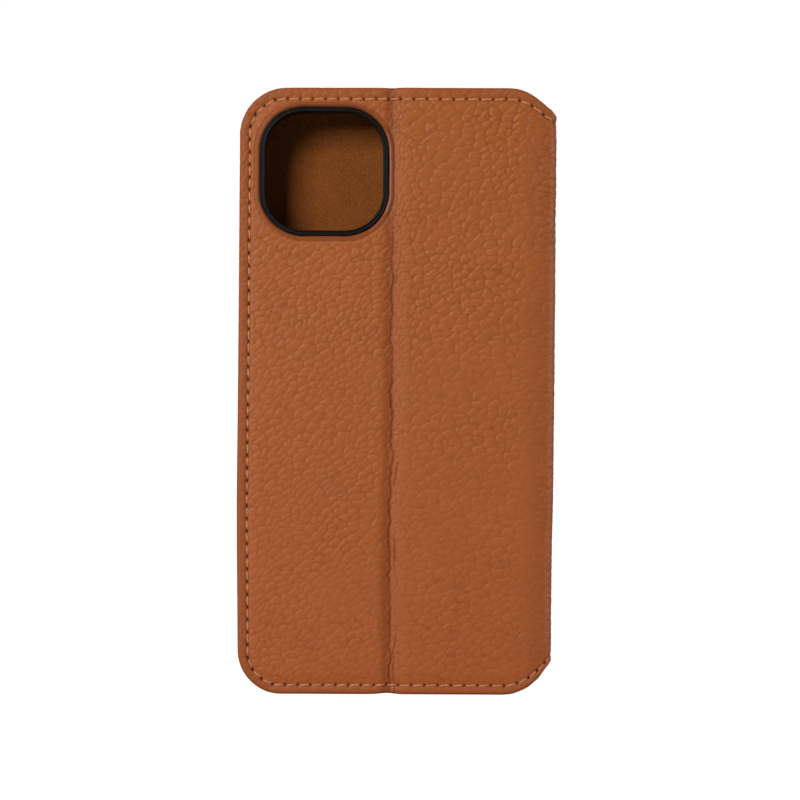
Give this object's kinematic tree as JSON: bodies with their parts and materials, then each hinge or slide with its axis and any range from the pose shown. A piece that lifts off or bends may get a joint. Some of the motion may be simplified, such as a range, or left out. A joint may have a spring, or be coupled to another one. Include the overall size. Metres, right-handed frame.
{
  "type": "phone wallet case",
  "caption": "Folio wallet case in pebbled leather with a moulded phone tray, a camera window, a stand crease down the back, a rounded spine and a front cover lined with card and cash pockets.",
  "frame": {"origin": "centre of the case's width and depth, at the lower edge it stands on", "axes": "+X towards the spine, +Y towards the front cover's outer face, +Z from the lower edge to the upper edge"},
  "size_m": [0.0792, 0.016, 0.1514],
  "materials": {
    "outer_leather": "pebbled tan leather, satin",
    "pocket_leather": "thin tan leather, satin",
    "suede_lining": "brushed microfibre suede, matte",
    "board": "grey-brown stiffener board",
    "stiffener": "thin flexible sheet",
    "adhesive": "double-sided adhesive",
    "tray_rubber": "black moulded flexible polymer, satin",
    "thread": "waxed tan thread",
    "steel": "thin strip"
  },
  "bodies": {
    "back_panel": {"back_leather": "outer_leather", "back_board": "board", "back_lining": "suede_lining", "tray_adhesive": "adhesive", "phone_tray": "tray_rubber", "keeper_strips": "steel", "back_stitching": "thread"},
    "side_key": {"side_button_pad": "tray_rubber"},
    "volume_up_key": {"volume_up_pad": "tray_rubber"},
    "volume_down_key": {"volume_down_pad": "tray_rubber"},
    "stand_flap": {"flap_leather": "outer_leather", "flap_board": "board", "flap_lining": "suede_lining", "flap_stitching": "thread"},
    "spine": {"spine_leather": "outer_leather", "spine_lining": "suede_lining", "spine_board": "stiffener"},
    "front_cover": {"front_leather": "outer_leather", "front_board": "board", "front_lining": "suede_lining", "cash_pocket_panel": "pocket_leather", "card_pocket_upper": "pocket_leather", "card_pocket_middle": "pocket_leather", "card_pocket_lower": "pocket_leather", "closure_magnets": "steel", "front_stitching": "thread", "pocket_stitching": "thread"}
  },
  "joints": [
    {"name": "stand_crease", "type": "hinge", "parent": "back_panel", "child": "stand_flap", "pos_m": [-0.0011, -0.008, 0.0757], "axis": [0, 0, -1], "range_deg": [0, 35.6]},
    {"name": "spine_fold", "type": "hinge", "parent": "stand_flap", "child": "spine", "pos_m": [0.0392, -0.0077, 0.0757], "axis": [0, 0, -1], "range_deg": [0, 150]},
    {"name": "cover_open", "type": "hinge", "parent": "spine", "child": "front_cover", "pos_m": [0.0392, 0.0077, 0.0757], "axis": [0, 0, -1], "range_deg": [0, 178]},
    {"name": "side_key_press", "type": "slide", "parent": "back_panel", "child": "side_key", "axis": [1, 0, 0], "range_m": [0, 0.0004], "stiffness_N_per_m": 3000},
    {"name": "volume_up_press", "type": "slide", "parent": "back_panel", "child": "volume_up_key", "axis": [-1, 0, 0], "range_m": [0, 0.0004], "stiffness_N_per_m": 3000},
    {"name": "volume_down_press", "type": "slide", "parent": "back_panel", "child": "volume_down_key", "axis": [-1, 0, 0], "range_m": [0, 0.0004], "stiffness_N_per_m": 3000}
  ],
  "couplings": [
    {"joint": "stand_crease", "follows": "cover_open", "ratio": 0.2}
  ]
}
